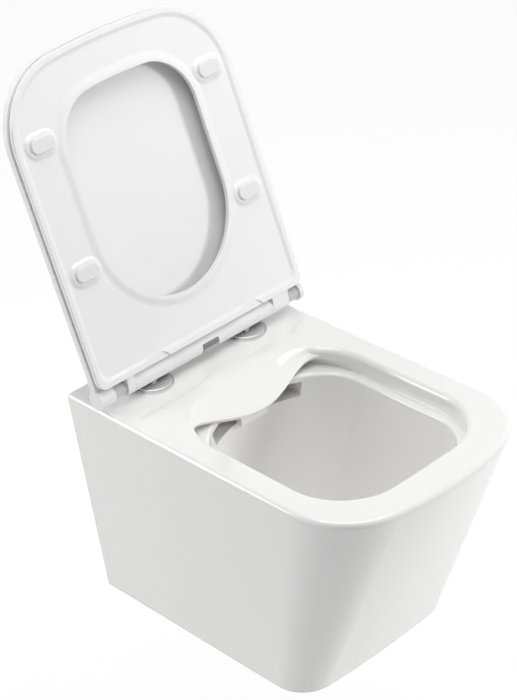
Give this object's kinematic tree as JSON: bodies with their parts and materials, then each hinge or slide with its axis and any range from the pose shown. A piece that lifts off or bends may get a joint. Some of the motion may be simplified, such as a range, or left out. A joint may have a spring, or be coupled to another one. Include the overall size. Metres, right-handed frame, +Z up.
{
  "type": "wall hung toilet",
  "caption": "Rimless wall hung toilet pan with a flush deflector, trap and rear outlet, and a slim soft-close seat and lid on a lift-off hinge.",
  "frame": {"origin": "middle of the two wall fixing holes, on the back face that meets the wall", "axes": "+Z up, +Y into the wall, so the pan's front faces -Y, and +X to the right seen from the front"},
  "size_m": [0.375, 0.6168, 0.774],
  "materials": {
    "glazed_ceramic": "glossy glaze",
    "seat_resin": "gloss, moulded thermoset",
    "hinge_plastic": "semi-gloss",
    "buffer_plastic": "soft satin white",
    "grey_plastic": "satin",
    "button_grey": "satin, ribbed",
    "chrome": "polished",
    "steel": "turned",
    "bush_plastic": "natural",
    "black_rubber": "matt"
  },
  "bodies": {
    "pan": {"pan_ceramic": "glazed_ceramic", "wall_bushes": "bush_plastic", "wall_washers": "steel", "wall_nuts": "steel", "inlet_seal": "black_rubber", "hinge_post_left": "steel", "hinge_post_right": "steel", "post_cover_left": "chrome", "post_cover_right": "chrome", "post_gaskets": "black_rubber", "post_bolts": "steel", "deck_bushes": "black_rubber", "deck_washers": "steel", "deck_wing_nuts": "bush_plastic"},
    "hinge_carriage": {"hinge_bar": "hinge_plastic", "hinge_pin_left": "steel", "hinge_pin_right": "steel", "latch_spring_left": "steel", "latch_spring_right": "steel", "button_spring": "steel"},
    "release_button": {"release_button": "button_grey"},
    "seat": {"seat_ring": "seat_resin", "seat_bushes": "bush_plastic", "seat_damper": "grey_plastic", "seat_buffer_1": "buffer_plastic", "seat_buffer_2": "buffer_plastic", "seat_buffer_3": "buffer_plastic", "seat_buffer_4": "buffer_plastic"},
    "lid": {"lid_shell": "seat_resin", "lid_bumpers": "buffer_plastic", "lid_bushes": "bush_plastic", "lid_damper": "grey_plastic"}
  },
  "joints": [
    {"name": "hinge_lift", "type": "slide", "parent": "pan", "child": "hinge_carriage", "axis": [0, 0, 1], "range_m": [0, 0.045], "deforming": ["latch_spring_left", "latch_spring_right"]},
    {"name": "lid_hinge", "type": "hinge", "parent": "hinge_carriage", "child": "lid", "pos_m": [0, -0.0688, 0.0966], "axis": [1, 0, 0], "range_deg": [0, 111]},
    {"name": "seat_hinge", "type": "hinge", "parent": "hinge_carriage", "child": "seat", "pos_m": [0, -0.0688, 0.0966], "axis": [1, 0, 0], "range_deg": [0, 111]},
    {"name": "release_press", "type": "slide", "parent": "hinge_carriage", "child": "release_button", "axis": [0, 1, 0], "range_m": [0, 0.003], "stiffness_N_per_m": 600, "deforming": ["button_spring"]}
  ],
  "couplings": [
    {"joint": "seat_hinge", "follows": "lid_hinge", "ratio": 1}
  ]
}
